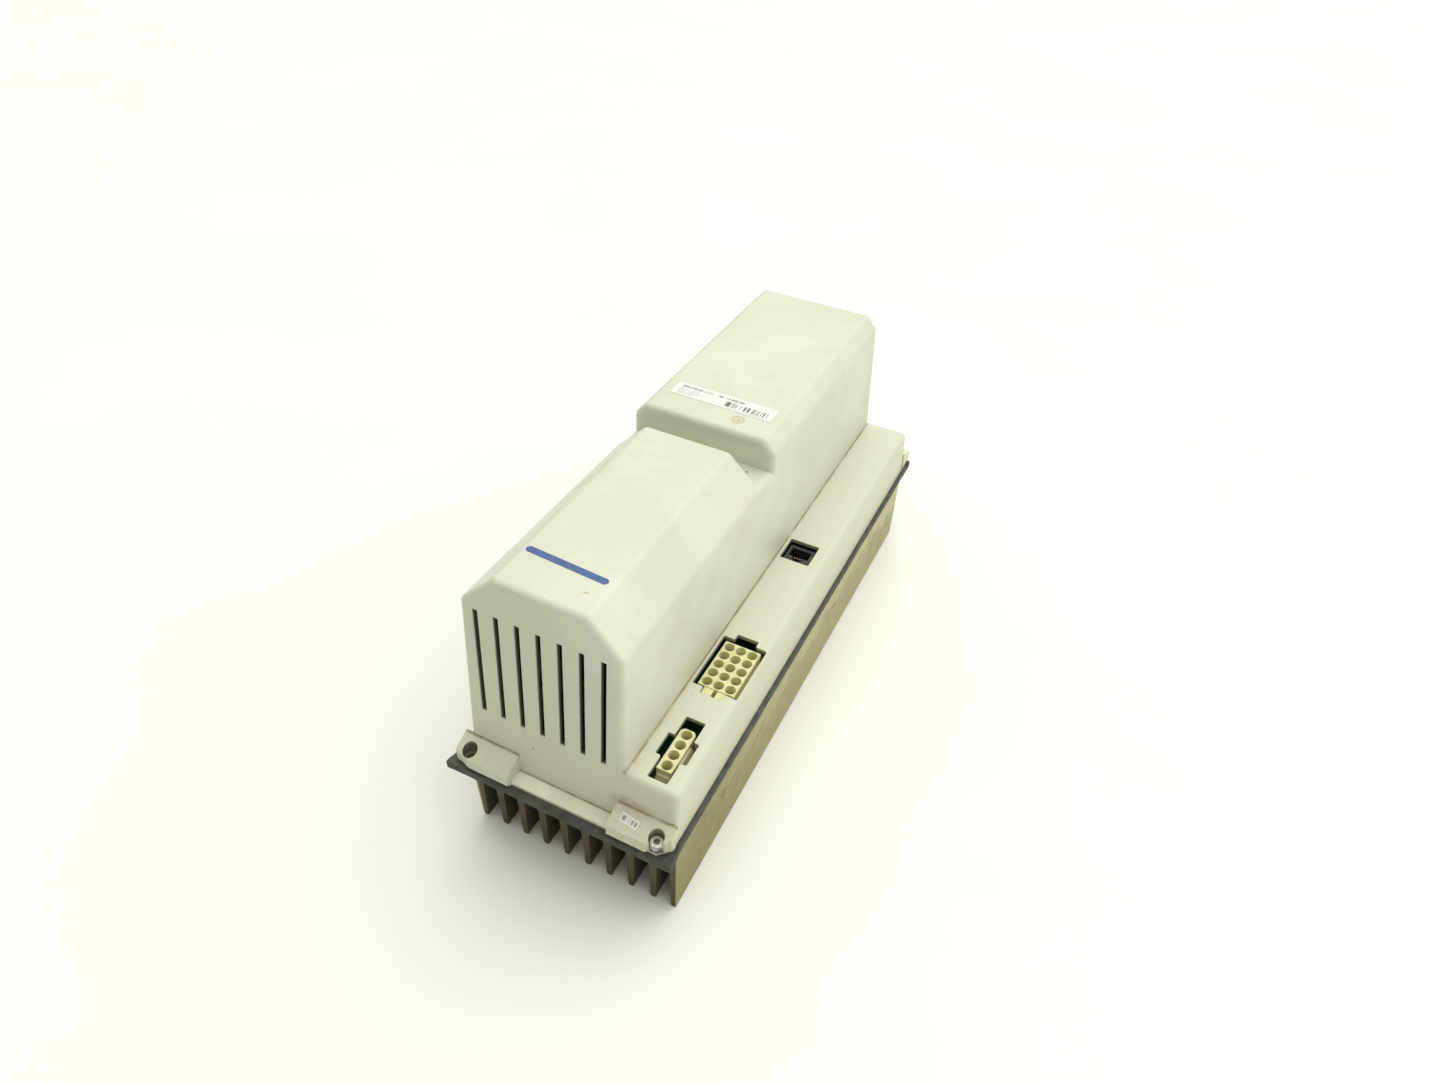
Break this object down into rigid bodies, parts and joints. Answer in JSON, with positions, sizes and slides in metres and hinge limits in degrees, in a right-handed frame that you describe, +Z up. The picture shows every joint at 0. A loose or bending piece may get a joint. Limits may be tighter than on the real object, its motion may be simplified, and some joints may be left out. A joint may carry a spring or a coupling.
{
  "type": "servo drive",
  "caption": "Push-through servo drive: finned heatsink below a gasketed flange, moulded cover with a vented hump, side step with sockets and corner lugs.",
  "frame": {"origin": "centre of the bounding box footprint, on the plane of the fin tips", "axes": "+Z up from the fin tips to the cover top, +Y from the intake-slot end to the tall capacitor end, +X towards the low step that carries the sockets"},
  "size_m": [0.12, 0.354, 0.1687],
  "materials": {
    "extrusion": "weathered brown-grey anodised extrusion",
    "gasket": "dark grey-green foam rubber",
    "plate": "cream paint",
    "cover": "warm light grey moulding, slight gloss",
    "screws": "zinc plated",
    "board": "green solder mask",
    "brass": "turned brass",
    "chips": "moulded black epoxy",
    "pad": "grey silicone",
    "module": "dark moulded case",
    "capacitor_sleeve": "shrink sleeve with pressed aluminium top",
    "ferrite": "ferrite",
    "copper": "enamelled copper wire",
    "tape": "yellow polyester tape",
    "nylon": "aged ivory nylon",
    "contacts": "tinned brass",
    "jack": "black moulded jack",
    "gold": "gold plated springs",
    "bracket": "zinc plated sheet",
    "fan_plastic": "black moulded plastic",
    "bearing": "ground steel",
    "label": "printed label, bars only"
  },
  "bodies": {
    "housing": {"heatsink": "extrusion", "gasket": "gasket", "flange_plate": "plate", "cover": "cover", "base_screws": "screws", "cover_screws": "screws", "power_board": "board", "power_board_standoffs": "brass", "power_board_screws": "screws", "control_board": "board", "control_board_standoffs": "brass", "control_board_screws": "screws", "control_chips": "chips", "board_link": "chips", "thermal_pads": "pad", "inverter_module": "module", "rectifier_bridge": "module", "module_screws": "screws", "bridge_screw": "screws", "link_capacitors": "capacitor_sleeve", "choke_core": "ferrite", "choke_windings": "copper", "transformer_core": "ferrite", "transformer_winding": "tape", "charging_relay": "module", "current_sensors": "module", "motor_connector": "nylon", "motor_contacts": "contacts", "signal_connector": "nylon", "signal_contacts": "contacts", "network_jack": "jack", "jack_contacts": "gold", "fan_bracket": "bracket", "bracket_screws": "screws", "fan_frame": "fan_plastic", "fan_screws": "screws", "fan_bearings": "bearing", "rating_label": "label", "lug_label": "label"},
    "fan_rotor": {"fan_rotor": "fan_plastic", "fan_shaft": "bearing"}
  },
  "joints": [
    {"name": "fan_spin", "type": "hinge", "parent": "housing", "child": "fan_rotor", "pos_m": [-0.013, -0.14, 0.118], "axis": [0, 1, 0], "continuous": true}
  ]
}
